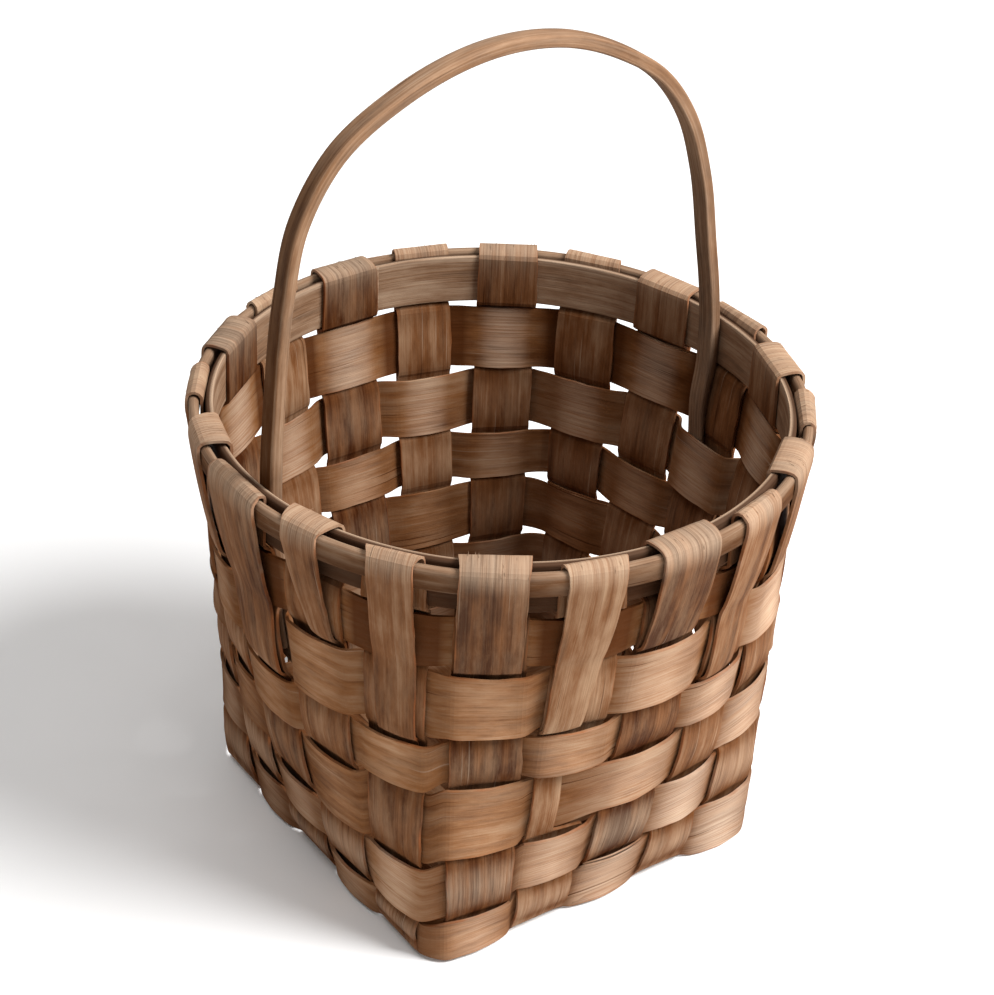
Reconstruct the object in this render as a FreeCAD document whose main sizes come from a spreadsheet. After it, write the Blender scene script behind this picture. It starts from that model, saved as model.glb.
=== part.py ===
import FreeCAD, Part
import math
import os

import Sketcher
from FreeCAD import Vector

# A hand-woven splint basket: ten wide splints cross in a square base, turn up as
# stakes, and are folded over a round rim and tucked back into the weave.
# Frame: origin at the middle of the underside, +Z up, handle along X.

SIZES = {
    "splint_thickness": 1.2,
    "splint_width": 27.0,
    "weave_clearance": 0.3,
    "pillow_rise": 0.5,
    "splint_gap": 4.0,
    "corner_margin": 6.5,
    "bend_radius": 3.0,
    "sole_wear": 0.2,
    "rim_height": 200.0,
    "row_gap": 3.4,
    "lap_gap": 0.1,
    "band_inner_radius": 115.0,
    "band_thickness": 3.0,
    "band_height": 22.0,
    "hoop_thickness": 4.0,
    "hoop_height": 10.0,
    "hoop_bevel": 1.2,
    "scarf_start": 5.0,
    "scarf_gap": 0.3,
    "band_scarf_length": 10.0,
    "hoop_scarf_length": 36.0,
    "fold_rise": 0.8,
    "handle_width": 8.4,
    "handle_thickness": 5.4,
    "handle_tip_thickness": 2.4,
    "handle_rise": 156.0,
    "handle_turn": 3.6,
    "cut_overrun": 1.0,
}

STAKES_PER_SIDE = 5
STAKE_COUNT = 4 * STAKES_PER_SIDE
ROW_COUNT = 6
SIDE_TURN = 90.0
RIM_TURN = 360.0 / STAKE_COUNT
FIRST_NORMAL = -90.0
SPANS_PER_FACE = 8
HANDLE_STAKES = (17, 7)
LAP_STAKES = 2
LAP_SHIFT = 7

# Hand-split strips differ from piece to piece.
Y_SPLINT_WIDTH_SHARES = (1.06, 0.98, 1.04, 0.88, 0.96)
X_SPLINT_WIDTH_SHARES = (0.98, 1.02, 1.05, 0.97, 0.95)
ROW_HEIGHT_SHARES = (0.1886, 0.1775, 0.1495, 0.1746, 0.1635, 0.1463)
WIDEST_SPLINT_SHARE = max(Y_SPLINT_WIDTH_SHARES + X_SPLINT_WIDTH_SHARES)
WALL_BULGE_SHARE = 0.4
TAIL_TIP_SHARE = 0.25
TAIL_LEAVE_SHARE = 0.35
ACROSS_SHARES = (-1.0, -0.5, 0.0, 0.5, 1.0)
PILLOW_SHARES = (0.0, 0.7, 1.0, 0.7, 0.0)
BEND_SHARES = (0.2, 0.5, 0.8)
HANDLE_TIP_SHARE = 0.3
FOLD_ROUND_SHARE = 0.9

# The rows wander up and down near the front corner: shares of the woven height for the
# lower edges of the first five rows, at the stakes from four before the corner onwards.
FIRST_SWAY_STAKE = STAKE_COUNT - 4
ROW_SWAY_SHARES = (
    (0.008, 0.018, 0.024, 0.030, 0.035, 0.041, 0.047, 0.041, 0.030, 0.018, 0.008),
    (-0.006, -0.012, -0.009, 0.000, 0.015, 0.024, 0.027, 0.029, 0.024, 0.014, 0.006),
    (-0.014, -0.029, -0.026, -0.006, 0.026, 0.027, 0.027, 0.028, 0.018, 0.010, 0.004),
    (-0.025, -0.053, -0.070, -0.059, -0.029, -0.006, 0.017, 0.017, 0.012, 0.006, 0.002),
    (-0.022, -0.047, -0.065, -0.070, -0.050, -0.024, -0.006, -0.006, 0.000, 0.000, 0.000),
)

# Widths of the folded-back ends, pared by eye, from the front corner round.
TAIL_WIDTH_SHARES = (
    0.98, 0.82, 0.97, 0.86, 0.84, 0.82, 0.9, 0.95, 0.88, 0.85,
    0.93, 0.9, 0.9, 0.86, 0.88, 0.8, 0.74, 1.06, 0.62, 0.74,
)
# How far their tips drift along the wall.
TAIL_LEAN_SHARES = (
    -0.03, -0.14, -0.1, -0.08, 0.04, 0.05, -0.06, 0.0, 0.06, -0.05,
    0.04, 0.0, -0.06, 0.05, -0.04, 0.06, -0.05, 0.0, 0.05, 0.06,
)

# Arch of the handle from its left leg to its right one: shares of the leg radius
# along the basket and of the rise above the rim.
ARCH_SHARES = (
    (-1.0, 0.0), (-0.985, 0.24), (-0.95, 0.5), (-0.89, 0.69), (-0.75, 0.836), (-0.49, 0.94),
    (-0.12, 0.994), (0.18, 0.967), (0.45, 0.883), (0.65, 0.78), (0.79, 0.643), (0.88, 0.467),
    (0.94, 0.25), (0.98, 0.09), (0.995, 0.0),
)

STRAIGHT_UP = Vector(0, 0, 1)


def make_sheet(doc):
    sheet = doc.addObject("Spreadsheet::Sheet", "Sizes")
    for row, (alias, value) in enumerate(SIZES.items(), start=1):
        sheet.set(f"A{row}", alias)
        sheet.set(f"B{row}", str(value))
        sheet.setAlias(f"B{row}", alias)
    doc.recompute()
    return sheet


def direction(degrees):
    angle = math.radians(degrees)
    return Vector(math.cos(angle), math.sin(angle), 0)


class Weave:
    """Where every stake and every row of the weave lies."""

    def __init__(self, size):
        self.size = size
        self.step = size.splint_thickness + size.weave_clearance
        self.half_step = self.step / 2
        self.band_bottom = size.rim_height - size.band_height
        self.wall_radius = size.band_inner_radius + size.band_thickness / 2
        self.base_pitch = size.splint_width + size.splint_gap
        self.base_half = STAKES_PER_SIDE * self.base_pitch / 2 + size.corner_margin
        self.base_level = self.half_step + size.splint_thickness / 2
        self.bend_top = self.base_level + size.bend_radius
        self.woven_top = self.band_bottom - size.row_gap
        self.woven_height = self.woven_top - self.bend_top

    def edge_level(self, edge, stake):
        """Level of an edge between rows at a stake: 0 is above the first row."""
        level = self.woven_top - self.woven_height * sum(ROW_HEIGHT_SHARES[:edge])
        place = (stake - FIRST_SWAY_STAKE) % STAKE_COUNT
        if 0 < edge < ROW_COUNT and place < len(ROW_SWAY_SHARES[edge - 1]):
            level += self.woven_height * ROW_SWAY_SHARES[edge - 1][place]
        return level

    def row(self, row, stake):
        """Lowest and highest level of a row at a stake, counted down from the band."""
        if row == 0:
            return self.band_bottom, self.size.rim_height
        return self.edge_level(row, stake) + self.size.row_gap, self.edge_level(row - 1, stake)

    def place(self, stake):
        """Side of the base that a stake rises from, and its place along that side."""
        side = (stake % STAKE_COUNT) // STAKES_PER_SIDE
        along = stake % STAKES_PER_SIDE - STAKES_PER_SIDE // 2
        return side, along

    def width(self, stake):
        side, along = self.place(stake)
        order = along + STAKES_PER_SIDE // 2
        if side >= 2:
            order = STAKES_PER_SIDE - 1 - order
        shares = X_SPLINT_WIDTH_SHARES if side % 2 else Y_SPLINT_WIDTH_SHARES
        return self.size.splint_width * shares[order]

    def base_frame(self, stake):
        """Point on the base's edge, outward normal and direction along the edge."""
        side, along = self.place(stake)
        outward = direction(FIRST_NORMAL + SIDE_TURN * side)
        across = STRAIGHT_UP.cross(outward)
        edge = outward * self.base_half + across * (along * self.base_pitch)
        return edge, outward, across

    def frame(self, stake, level):
        """Point on the wall, outward normal and direction along the wall."""
        side, along = self.place(stake)
        height_share = min(level / self.band_bottom, 1.0)
        flare = height_share + WALL_BULGE_SHARE * height_share * (1.0 - height_share)
        side_angle = FIRST_NORMAL + SIDE_TURN * side
        edge = self.base_frame(stake)[0]
        rim = direction(side_angle + RIM_TURN * along) * self.wall_radius
        point = edge * (1.0 - flare) + rim * flare + STRAIGHT_UP * level
        outward = direction(side_angle + RIM_TURN * along * flare)
        return point, outward, STRAIGHT_UP.cross(outward)

    def outside(self, stake, row):
        return (stake + row) % 2 == 1


def even_slope(before, after, span_before, span_after):
    """Slope at a point of a line that may not swing past its neighbours."""
    if before * after <= 0:
        return 0.0
    weight_before = 2 * span_after + span_before
    weight_after = span_after + 2 * span_before
    return (weight_before + weight_after) / (weight_before / before + weight_after / after)


def free_slope(before, after, span_before, span_after):
    """Slope at a point of an evenly sprung curve."""
    return (before * span_after + after * span_before) / (span_before + span_after)


def slopes(points, knots, rule):
    """Direction of the curve at each point."""
    spans = [after - before for before, after in zip(knots, knots[1:])]
    chords = [(after - before) / span for before, after, span in zip(points, points[1:], spans)]
    made = [chords[0]]
    for k in range(1, len(chords)):
        pairs = zip(chords[k - 1], chords[k])
        made.append(Vector(*(rule(before, after, spans[k - 1], spans[k]) for before, after in pairs)))
    return made + [chords[-1]]


def spline_poles(points, leans, knots):
    """Poles of a smooth edge through the points: one cubic span from each to the next."""
    poles = [points[0]]
    for k in range(len(points) - 1):
        third = (knots[k + 1] - knots[k]) / 3
        poles.append(points[k] + leans[k] * third)
        poles.append(points[k + 1] - leans[k + 1] * third)
    return poles + [points[-1]]


def long_face(first, second, knots):
    """Face drawn straight across from one long edge to the next."""
    surface = Part.BSplineSurface()
    poles = [list(pair) for pair in zip(first, second)]
    repeats = [4] + [2] * (len(knots) - 2) + [4]
    surface.buildFromPolesMultsKnots(poles, repeats, [2, 2], knots, [0.0, 1.0], False, False, 3, 1)
    return surface.toShape()


def long_faces(rails, knots, rule):
    """Faces along the four sides, in stretches of a few spans each."""
    leans = [slopes(rail, knots, rule) for rail in rails]
    last = len(knots) - 1
    faces = []
    for start in range(0, last, SPANS_PER_FACE):
        part = slice(start, min(start + SPANS_PER_FACE, last) + 1)
        edges = [spline_poles(rail[part], lean[part], knots[part]) for rail, lean in zip(rails, leans)]
        faces += [long_face(edges[k - 1], edges[k], knots[part]) for k in range(4)]
    return faces


def end_face(corners):
    first, second, third, fourth = corners
    surface = Part.BSplineSurface()
    poles = [[first, second], [fourth, third]]
    surface.buildFromPolesMultsKnots(poles, [2, 2], [2, 2], [0.0, 1.0], [0.0, 1.0], False, False, 1, 1)
    return surface.toShape()


def solid_from_rails(rails, rule=even_slope):
    """Closed solid between four long edges that pass through matching points."""
    middles = [(first + second + third + fourth) / 4 for first, second, third, fourth in zip(*rails)]
    knots = [0.0]
    for before, after in zip(middles, middles[1:]):
        knots.append(knots[-1] + before.distanceToPoint(after))
    faces = long_faces(rails, knots, rule)
    faces += [end_face([rail[end] for rail in rails]) for end in (0, -1)]
    shell = Part.makeShell(faces)
    shell.sewShape()
    solid = Part.makeSolid(shell)
    if solid.Volume < 0:
        solid.reverse()
    return solid


def strip_rails(stations):
    """Four edges of a bent strip, from (middle, across, width, thickness) stations."""
    rails = ([], [], [], [])
    last = len(stations) - 1
    for k, (middle, across, width, thickness) in enumerate(stations):
        run = stations[min(k + 1, last)][0] - stations[max(k - 1, 0)][0]
        face = run.cross(across).normalize()
        side = across * (width / 2)
        skin = face * (thickness / 2)
        corners = (middle - side + skin, middle + side + skin, middle + side - skin, middle - side - skin)
        for rail, corner in zip(rails, corners):
            rail.append(corner)
    return rails


def rim_offsets(weave):
    """Distances from the wall line to the runs past the rim: a strip is flat, the rim curved."""
    size = weave.size
    half_strip = size.splint_thickness / 2
    gap = size.weave_clearance
    sag = (WIDEST_SPLINT_SHARE * size.splint_width) ** 2 / (8 * size.band_inner_radius)
    between = size.band_thickness / 2 + gap + half_strip
    inside_band = -(between + sag)
    hoop_inside = between + half_strip + sag + gap
    outside_hoop = hoop_inside + size.hoop_thickness + gap + half_strip
    return inside_band, between, outside_hoop


def tail_stations(weave, stake):
    """The folded-back end: tucked tip, over the rows above it, out to the hoop."""
    size = weave.size
    outside_hoop = rim_offsets(weave)[-1]
    tuck_row = 2 + stake % 2
    low, high = weave.row(tuck_row, stake)
    tip = low + (high - low) * TAIL_TIP_SHARE
    over = weave.step + weave.half_step + size.pillow_rise
    stops = [(tip, weave.half_step), (high, weave.half_step)]
    for row in range(tuck_row - 1, 1, -1):
        stops += [(level, over) for level in weave.row(row, stake)]
    low, high = weave.row(1, stake)
    stops += [(low, over), (low + (high - low) * TAIL_LEAVE_SHARE, over)]
    hoop_bottom = size.rim_height - size.hoop_height
    hoop_middle = hoop_bottom + size.hoop_height / 2
    stops += [(hoop_bottom, outside_hoop - size.fold_rise / 2), (hoop_middle, outside_hoop)]
    width = size.splint_width * TAIL_WIDTH_SHARES[stake]
    lean = size.splint_width * TAIL_LEAN_SHARES[stake] / (hoop_middle - tip)
    return [
        wall_station(weave, stake, level, offset, width, lean * (hoop_middle - level))
        for level, offset in stops
    ]


def wall_station(weave, stake, level, offset, width, aside=0):
    point, outward, across = weave.frame(stake, level)
    return point + outward * offset + across * aside, across, width, weave.size.splint_thickness


def fold_stations(weave, stake):
    """Over the top of the rim, down to where the stake meets the first row."""
    size = weave.size
    inside_band, between, outside_hoop = rim_offsets(weave)
    inner = between if stake % 2 else inside_band
    top = size.rim_height + size.weave_clearance + size.splint_thickness / 2
    rounded = size.hoop_bevel * FOLD_ROUND_SHARE
    stops = [
        (top - rounded, outside_hoop - rounded / 2),
        (top + size.fold_rise / 2, outside_hoop - rounded - size.splint_thickness),
        (top + size.fold_rise, (inner + outside_hoop) / 2),
        (top + size.fold_rise / 2, inner + size.splint_thickness),
        (top - rounded, inner),
        ((weave.band_bottom + size.rim_height) / 2, inner),
        (weave.band_bottom, inner),
    ]
    width = weave.width(stake)
    tail = size.splint_width * TAIL_WIDTH_SHARES[stake]
    widths = [tail + (width - tail) * k / (len(stops) - 1) for k in range(len(stops))]
    return [wall_station(weave, stake, level, offset, wide) for (level, offset), wide in zip(stops, widths)]


def woven_stations(weave, stake):
    """Down the wall, in front of one row and behind the next."""
    width = weave.width(stake)
    stations = []
    for row in range(1, ROW_COUNT + 1):
        low, high = weave.row(row, stake)
        sign = 1 if weave.outside(stake, row) else -1
        for across_share, pillow_share in zip(ACROSS_SHARES, PILLOW_SHARES):
            level = (low + high) / 2 - across_share * (high - low) / 2
            offset = sign * (weave.half_step + pillow_share * weave.size.pillow_rise)
            stations.append(wall_station(weave, stake, level, offset, width))
    return stations


def bend_stations(weave, stake):
    """Round the bend from the wall into the base."""
    edge, outward, across = weave.base_frame(stake)
    size = weave.size
    sign = 1 if weave.outside(stake, ROW_COUNT) else -1
    centre = edge - outward * size.bend_radius + STRAIGHT_UP * weave.bend_top
    stations = []
    for turn_share in BEND_SHARES:
        angle = math.radians(SIDE_TURN * turn_share)
        away = outward * math.cos(angle) - STRAIGHT_UP * math.sin(angle)
        reach = size.bend_radius + sign * weave.half_step * (1.0 - 2.0 * turn_share)
        stations.append((centre + away * reach, across, weave.width(stake), size.splint_thickness))
    return stations


def side_stations(weave, stake):
    stations = tail_stations(weave, stake) + fold_stations(weave, stake)
    return stations + woven_stations(weave, stake) + bend_stations(weave, stake)


def base_stations(weave, stake, crossed):
    """Across the base, under and over the splints that run the other way."""
    edge, outward, across = weave.base_frame(stake)
    size = weave.size
    sign = -1 if weave.outside(stake, ROW_COUNT) else 1
    stations = []
    for order, other in enumerate(crossed):
        inward = weave.base_half + (order - STAKES_PER_SIDE // 2) * weave.base_pitch
        for across_share in ACROSS_SHARES:
            reach = inward + across_share * weave.width(other) / 2
            drop = sign * weave.half_step
            middle = edge - outward * reach + STRAIGHT_UP * (weave.base_level - drop)
            stations.append((middle, across, weave.width(stake), size.splint_thickness))
        sign = -sign
    return stations


def base_splint(weave, stake, opposite, crossed):
    """One strip from tucked end to tucked end, worn flat where it stands."""
    near = side_stations(weave, stake)
    far = side_stations(weave, opposite)[::-1]
    turned = [(middle, across * -1, width, thickness) for middle, across, width, thickness in far]
    stations = near + base_stations(weave, stake, crossed) + turned
    strip = solid_from_rails(strip_rails(stations))
    size = weave.size
    reach = weave.base_half + size.cut_overrun
    below = Part.makeBox(2 * reach, 2 * reach, reach, Vector(-reach, -reach, -reach))
    return strip.cut(below.translated(STRAIGHT_UP * size.sole_wear)).Solids[0]


def weaver_offset(weave, stake, row):
    """Middle line of a weaver at a stake, with room for what is tucked behind it."""
    size = weave.size
    if not weave.outside(stake, row):
        tucked = row == 2 + stake % 2
        return weave.half_step + (weave.step if tucked else 0.0), 1
    leg_here = row == 2 and stake in HANDLE_STAKES
    room = size.handle_tip_thickness + weave.step if leg_here else 0.0
    return -(weave.half_step + room), -1


def weaver_rails(weave, row, first_stake):
    """Once round the wall, with thinned ends that lap over each other at a few stakes."""
    size = weave.size
    half = size.splint_thickness / 2
    rails = ([], [], [], [])
    for order in range(STAKE_COUNT + LAP_STAKES):
        stake = (first_stake + order) % STAKE_COUNT
        low, high = weave.row(row, stake)
        offset, sign = weaver_offset(weave, stake, row)
        outer = -size.lap_gap / 2 if order < LAP_STAKES else half
        inner = size.lap_gap / 2 if order >= STAKE_COUNT else -half
        for across_share, pillow_share in zip(ACROSS_SHARES, PILLOW_SHARES):
            middle = offset + sign * pillow_share * size.pillow_rise
            aside = across_share * weave.width(stake) / 2
            for rail, level, skin in zip(rails, (high, low, low, high), (outer, outer, inner, inner)):
                point, outward, across = weave.frame(stake, level)
                rail.append(point + across * aside + outward * (middle + skin))
    return rails


def handle_leg_stops(weave, stake):
    """Level, outer face and thickness of a leg, from its tucked tip to the rim."""
    size = weave.size
    gap = size.weave_clearance
    half_strip = size.splint_thickness / 2
    tilt = size.handle_width / 2 * math.tan(math.radians(size.handle_turn))

    def wall(level):
        point, outward, across = weave.frame(stake, level)
        return point.dot(outward) - tilt - gap - half_strip

    low, high = weave.row(2, stake)
    tip = low + (high - low) * HANDLE_TIP_SHARE
    first_low, first_high = weave.row(1, stake)
    first_row = (first_low + first_high) / 2
    behind_band = math.sqrt((size.band_inner_radius - gap) ** 2 - (size.handle_width / 2) ** 2)
    slim = size.handle_tip_thickness
    full = size.handle_thickness
    return [
        (tip, wall(tip) + weave.half_step, slim),
        (high, wall(high), slim),
        (first_low, wall(first_low) - weave.half_step, slim),
        (first_row, wall(first_row) - weave.half_step - size.pillow_rise, (slim + full) / 2),
        (weave.band_bottom, behind_band, full),
        ((weave.band_bottom + size.rim_height) / 2, behind_band, full),
    ]


def handle_stations(weave):
    size = weave.size
    along = direction(size.handle_turn)
    across = STRAIGHT_UP.cross(along)
    left_stops, right_stops = (handle_leg_stops(weave, stake) for stake in HANDLE_STAKES)
    leg_radius = right_stops[-1][1] - size.handle_thickness / 2

    def station(reach, level, thickness):
        return along * reach + STRAIGHT_UP * level, across, size.handle_width, thickness

    left = [station(-(face - thick / 2), level, thick) for level, face, thick in left_stops]
    right = [station(face - thick / 2, level, thick) for level, face, thick in right_stops]
    arch = []
    for reach_share, rise_share in ARCH_SHARES:
        level = size.rim_height + size.handle_rise * rise_share
        arch.append(station(leg_radius * reach_share, level, size.handle_thickness))
    return left + arch + right[::-1]


def bound_outline(body, role, name, corners):
    """Closed sketch outline whose corners are pairs of expressions on the sheet."""
    sketch = body.newObject("Sketcher::SketchObject", name)
    plane = next(item for item in body.Origin.OriginFeatures if item.Role == role)
    sketch.AttachmentSupport = (plane, [""])
    sketch.MapMode = "FlatFace"
    values = [[float(body.evalExpression(text)) for text in corner] for corner in corners]
    count = len(corners)
    for k in range(count):
        start = Vector(*values[k], 0)
        end = Vector(*values[(k + 1) % count], 0)
        sketch.addGeometry(Part.LineSegment(start, end), False)
    for k in range(count):
        sketch.addConstraint(Sketcher.Constraint("Coincident", k, 2, (k + 1) % count, 1))
    for k in range(count):
        for kind, value, text in zip(("DistanceX", "DistanceY"), values[k], corners[k]):
            index = sketch.addConstraint(Sketcher.Constraint(kind, -1, 1, k, 1, value))
            sketch.setExpression(f"Constraints[{index}]", text)
    return sketch


def rim_ring(doc, name, corners):
    """Bent hoop of the rim: a section turned round the basket's axis."""
    body = doc.addObject("PartDesign::Body", name)
    body.Label = name
    section = bound_outline(body, "XZ_Plane", name + "_section", corners)
    ring = body.newObject("PartDesign::Revolution", name + "_ring")
    ring.Profile = section
    ring.ReferenceAxis = (section, ["V_Axis"])
    ring.Angle = 360
    doc.recompute()
    return body


def cut_scarf(body, inner, outer, scarf_length):
    """Part the hoop where its two ends meet, on a slant."""
    start = "Sizes.scarf_start"
    end = f"Sizes.scarf_start + {scarf_length}"
    near = f"{inner} - Sizes.cut_overrun"
    far = f"sqrt(({outer}) ^ 2 - ({end}) ^ 2) + Sizes.cut_overrun"
    near_side = f"{near} + Sizes.scarf_gap"
    far_side = f"{far} + Sizes.scarf_gap"
    slot = [(start, near), (end, far), (end, far_side), (start, near_side)]
    scarf = bound_outline(body, "XY_Plane", body.Label + "_scarf", slot)
    whole_volume = body.Shape.Volume
    joint = body.newObject("PartDesign::Pocket", body.Label + "_joint")
    joint.Profile = scarf
    joint.Type = "ThroughAll"
    joint.Reversed = True
    body.Document.recompute()
    if body.Shape.Volume >= whole_volume:
        raise RuntimeError(body.Label + ": the scarf joint cut nothing")


def woven_feature(doc, weave, name, shape):
    """Piece of the document, let down by what is worn off the underside."""
    feature = doc.addObject("Part::Feature", name)
    feature.Label = name
    feature.Shape = shape
    feature.Placement = FreeCAD.Placement(STRAIGHT_UP * -weave.size.sole_wear, FreeCAD.Rotation())
    return feature


def make_splints(doc, weave):
    """Ten base splints: five along Y and five along X, numbered from the front corner."""
    y_stakes = list(range(STAKES_PER_SIDE))
    x_stakes = [STAKE_COUNT - 1 - order for order in range(STAKES_PER_SIDE)]
    made = []
    for order, stake in enumerate(y_stakes):
        opposite = 3 * STAKES_PER_SIDE - 1 - order
        shape = base_splint(weave, stake, opposite, x_stakes)
        made.append(woven_feature(doc, weave, f"base_splint_y{order + 1}", shape))
    for order, stake in enumerate(x_stakes):
        opposite = STAKES_PER_SIDE + order
        shape = base_splint(weave, stake, opposite, y_stakes)
        made.append(woven_feature(doc, weave, f"base_splint_x{order + 1}", shape))
    return made


def make_weavers(doc, weave):
    """Six rows, each begun at another stake so that the laps don't stand in line."""
    made = []
    for row in range(1, ROW_COUNT + 1):
        first_stake = (LAP_SHIFT * row) % STAKE_COUNT
        shape = solid_from_rails(weaver_rails(weave, row, first_stake))
        made.append(woven_feature(doc, weave, f"weaver_row_{row}", shape))
    return made


def make_rim(doc):
    """A flat band that the stakes are folded over, and a shaved hoop outside it."""
    top = "Sizes.rim_height - Sizes.sole_wear"
    inner = "Sizes.band_inner_radius"
    outer = f"{inner} + Sizes.band_thickness"
    low = f"{top} - Sizes.band_height"
    band = rim_ring(doc, "inner_rim_band", [(inner, low), (outer, low), (outer, top), (inner, top)])
    cut_scarf(band, inner, outer, "Sizes.band_scarf_length")
    sag = f"({WIDEST_SPLINT_SHARE} * Sizes.splint_width) ^ 2 / (8 * Sizes.band_inner_radius)"
    inner = f"{outer} + Sizes.splint_thickness + 2 * Sizes.weave_clearance + {sag}"
    outer = f"{inner} + Sizes.hoop_thickness"
    low = f"{top} - Sizes.hoop_height"
    shaved = f"{outer} - Sizes.hoop_bevel"
    lower_edge = f"{low} + Sizes.hoop_bevel"
    upper_edge = f"{top} - Sizes.hoop_bevel"
    rounded = [(shaved, low), (outer, lower_edge), (outer, upper_edge), (shaved, top)]
    hoop = rim_ring(doc, "outer_rim_hoop", [(inner, low)] + rounded + [(inner, top)])
    cut_scarf(hoop, inner, outer, "Sizes.hoop_scarf_length")
    return [band, hoop]


def make_handle(doc, weave):
    shape = solid_from_rails(strip_rails(handle_stations(weave)), free_slope)
    return [woven_feature(doc, weave, "handle", shape)]


def check_document(doc, parts):
    for item in doc.Objects:
        if "Invalid" in item.State or "Error" in item.State:
            raise RuntimeError(f"{item.Name} did not build: {item.State}")
    for part in parts:
        if part.Shape.isNull() or not part.Shape.isValid():
            raise RuntimeError(f"{part.Label} has no valid shape")


def write_parts(parts):
    os.makedirs("parts", exist_ok=True)
    for part in parts:
        part.Shape.exportStep(f"parts/{part.Label}.step")
        print(part.Label, len(part.Shape.Solids), round(part.Shape.Volume))


doc = FreeCAD.newDocument("splint_basket")
sizes = make_sheet(doc)
basket_weave = Weave(sizes)
basket_parts = make_splints(doc, basket_weave) + make_weavers(doc, basket_weave)
basket_parts += make_rim(doc) + make_handle(doc, basket_weave)
doc.recompute()
check_document(doc, basket_parts)
write_parts(basket_parts)
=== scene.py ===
import math

import bpy
import numpy as np
from mathutils import Matrix, Vector


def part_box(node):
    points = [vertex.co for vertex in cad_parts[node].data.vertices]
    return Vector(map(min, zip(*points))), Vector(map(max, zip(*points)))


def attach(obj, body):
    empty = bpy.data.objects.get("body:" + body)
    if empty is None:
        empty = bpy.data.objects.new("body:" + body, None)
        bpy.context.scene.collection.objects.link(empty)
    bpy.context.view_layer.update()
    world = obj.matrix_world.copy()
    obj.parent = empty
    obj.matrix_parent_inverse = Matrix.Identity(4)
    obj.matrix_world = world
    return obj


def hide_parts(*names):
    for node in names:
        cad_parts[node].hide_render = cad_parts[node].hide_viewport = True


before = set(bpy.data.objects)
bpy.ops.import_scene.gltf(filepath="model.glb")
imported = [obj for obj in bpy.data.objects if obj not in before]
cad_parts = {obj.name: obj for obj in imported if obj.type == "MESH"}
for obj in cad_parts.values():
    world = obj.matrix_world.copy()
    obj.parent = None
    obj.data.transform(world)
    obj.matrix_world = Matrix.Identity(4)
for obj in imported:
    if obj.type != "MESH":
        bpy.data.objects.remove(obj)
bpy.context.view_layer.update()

# Base splints: ten wide strips of split ash, woven square in the base and bent up
# as the stakes of the wall. Each end is folded over the rim and its tail is
# tucked back down the outside, under the second or the third row.

STAKES_PER_SIDE = 5
STAKE_COUNT = 4 * STAKES_PER_SIDE
ROW_COUNT = 6
RIM_TURN = math.radians(360 / STAKE_COUNT)
SIDE_TURN = math.radians(90)
splint_thickness = 0.0012
splint_width = 0.027
splint_gap = 0.004
corner_margin = 0.0065
weave_clearance = 0.0003
row_gap = 0.0034
bend_radius = 0.003
band_thickness = 0.003
pillow_rise = 0.0012
inside_pillow_share = 0.5
fold_rise = 0.0012
sole_wear = 0.0002
wall_bulge_share = 0.4

# Hand-split strips differ from piece to piece, the folded ends were pared by eye and lean,
# and the rows wander near the front corner.
Y_SPLINT_WIDTH_SHARES = (1.06, 0.98, 1.04, 0.88, 0.96)
X_SPLINT_WIDTH_SHARES = (0.98, 1.02, 1.05, 0.97, 0.95)
Y_SPLINT_TONES = (-1.2, 0.5, -1.3, 0.0, -0.3)
X_SPLINT_TONES = (-0.4, 0.0, -0.5, 0.2, -0.2)
WIDEST_SPLINT_SHARE = max(Y_SPLINT_WIDTH_SHARES + X_SPLINT_WIDTH_SHARES)
ROW_HEIGHT_SHARES = (0.1886, 0.1775, 0.1495, 0.1746, 0.1635, 0.1463)
FIRST_SWAY_STAKE = STAKE_COUNT - 4
ROW_SWAY_SHARES = (
    (0.008, 0.018, 0.024, 0.030, 0.035, 0.041, 0.047, 0.041, 0.030, 0.018, 0.008),
    (-0.006, -0.012, -0.009, 0.000, 0.015, 0.024, 0.027, 0.029, 0.024, 0.014, 0.006),
    (-0.014, -0.029, -0.026, -0.006, 0.026, 0.027, 0.027, 0.028, 0.018, 0.010, 0.004),
    (-0.025, -0.053, -0.070, -0.059, -0.029, -0.006, 0.017, 0.017, 0.012, 0.006, 0.002),
    (-0.022, -0.047, -0.065, -0.070, -0.050, -0.024, -0.006, -0.006, 0.000, 0.000, 0.000),
)
TAIL_WIDTH_SHARES = (
    0.98, 0.82, 0.97, 0.86, 0.84, 0.82, 0.9, 0.95, 0.88, 0.85,
    0.93, 0.9, 0.9, 0.86, 0.88, 0.8, 0.74, 1.28, 0.62, 0.7,
)
TAIL_LEAN_SHARES = (
    -0.04, -0.31, -0.18, -0.16, 0.04, 0.05, -0.06, 0.0, 0.06, -0.05,
    0.04, 0.0, -0.06, 0.05, -0.04, 0.06, -0.05, 0.04, 0.36, 0.1,
)
TAIL_TAPER_SHARES = (
    0.92, 0.6, 0.86, 0.6, 0.8, 0.88, 0.85, 0.9, 0.8, 0.88,
    0.86, 0.9, 0.84, 0.88, 0.85, 0.8, 0.75, 0.6, 0.45, 0.8,
)
# Wear of each row; the high shares that make the two bottom rows lighter are partly painted light.
ROW_WEAR_AND_LIGHT_SHARES = (0.02, 0.14, 0.12, 0.14, 0.5, 0.45)
ACROSS_SHARES = (-1.0, -0.5, 0.0, 0.5, 1.0)
PILLOW_SHARES = (0.0, 0.72, 1.0, 0.72, 0.0)
BEND_SHARES = (0.2, 0.5, 0.8)
tail_tip_share = 0.3
tail_leave_share = 0.3
tail_lean_power = 1.5

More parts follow.
